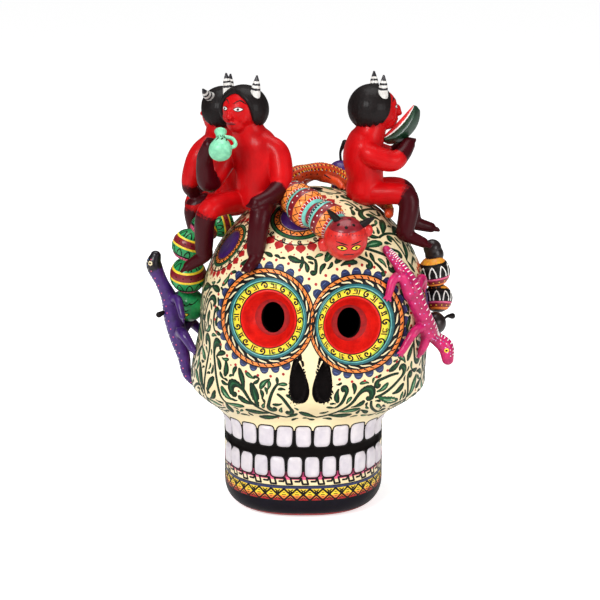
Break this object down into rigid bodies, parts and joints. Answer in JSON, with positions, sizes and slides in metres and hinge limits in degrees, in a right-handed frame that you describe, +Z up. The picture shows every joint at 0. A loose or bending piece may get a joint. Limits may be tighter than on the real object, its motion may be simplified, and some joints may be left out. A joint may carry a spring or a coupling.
{
  "type": "hand-painted clay skull sculpture",
  "caption": "Hollow fired-clay festive skull, free-standing on a flat jaw base, with seated devils holding a jug and a melon slice, and grubs and lizards laid on its crown and temples.",
  "frame": {"origin": "centre of the jaw's flat underside, on the surface the skull stands on", "axes": "+Z up through the crown; the face looks along -Y; +X to the viewer's right when facing it"},
  "size_m": [0.1688, 0.1412, 0.2335],
  "materials": {
    "skull_cream": "brushed folk paint under clear gloss varnish on fired clay",
    "devil_red": "brushed folk paint under clear gloss varnish on fired clay",
    "limb_maroon": "brushed folk paint under clear gloss varnish on fired clay",
    "hair_black": "brushed folk paint under clear gloss varnish on fired clay",
    "horn_white": "brushed folk paint under clear gloss varnish on fired clay",
    "jug_green": "brushed folk paint under clear gloss varnish on fired clay",
    "rind_green": "brushed folk paint under clear gloss varnish on fired clay",
    "bead_green": "brushed folk paint under clear gloss varnish on fired clay",
    "bead_teal": "brushed folk paint under clear gloss varnish on fired clay",
    "bead_gold": "brushed folk paint under clear gloss varnish on fired clay",
    "bead_black": "brushed folk paint under clear gloss varnish on fired clay",
    "purple": "brushed folk paint under clear gloss varnish on fired clay",
    "magenta": "brushed folk paint under clear gloss varnish on fired clay",
    "orange": "brushed folk paint under clear gloss varnish on fired clay"
  },
  "bodies": {
    "root": {"black_grub_body": "bead_gold", "black_grub_feeler": "hair_black", "black_grub_head": "bead_black", "black_grub_tail": "bead_black", "centre_grub_body": "bead_teal", "centre_grub_head": "devil_red", "centre_grub_left_ear": "devil_red", "centre_grub_left_horn": "hair_black", "centre_grub_right_ear": "devil_red", "centre_grub_right_horn": "hair_black", "green_grub_body": "bead_green", "green_grub_head": "bead_green", "green_grub_left_feeler": "hair_black", "green_grub_right_feeler": "hair_black", "jug": "jug_green", "jug_devil_hair": "hair_black", "jug_devil_head": "devil_red", "jug_devil_left_arm": "devil_red", "jug_devil_left_horn": "horn_white", "jug_devil_left_leg": "limb_maroon", "jug_devil_right_arm": "devil_red", "jug_devil_right_horn": "horn_white", "jug_devil_right_leg": "limb_maroon", "jug_devil_torso": "devil_red", "melon_devil_hair": "hair_black", "melon_devil_head": "devil_red", "melon_devil_left_arm": "devil_red", "melon_devil_left_horn": "horn_white", "melon_devil_left_leg": "limb_maroon", "melon_devil_right_arm": "devil_red", "melon_devil_right_horn": "horn_white", "melon_devil_right_leg": "limb_maroon", "melon_devil_torso": "devil_red", "melon_slice": "rind_green", "orange_lizard_body": "orange", "orange_lizard_left_leg": "orange", "orange_lizard_right_leg": "orange", "pink_lizard_body": "magenta", "pink_lizard_front_left_leg": "magenta", "pink_lizard_front_right_leg": "magenta", "pink_lizard_rear_left_leg": "magenta", "pink_lizard_rear_right_leg": "magenta", "purple_grub_body": "purple", "purple_grub_feeler": "hair_black", "purple_grub_head": "purple", "purple_lizard_body": "purple", "purple_lizard_front_left_leg": "purple", "purple_lizard_front_right_leg": "purple", "purple_lizard_rear_left_leg": "purple", "purple_lizard_rear_right_leg": "purple", "rear_devil_hair": "hair_black", "rear_devil_head": "devil_red", "rear_devil_left_arm": "devil_red", "rear_devil_left_horn": "horn_white", "rear_devil_left_leg": "limb_maroon", "rear_devil_right_arm": "devil_red", "rear_devil_right_horn": "horn_white", "rear_devil_right_leg": "limb_maroon", "rear_devil_torso": "devil_red", "skull_shell": "skull_cream"}
  },
  "joints": []
}
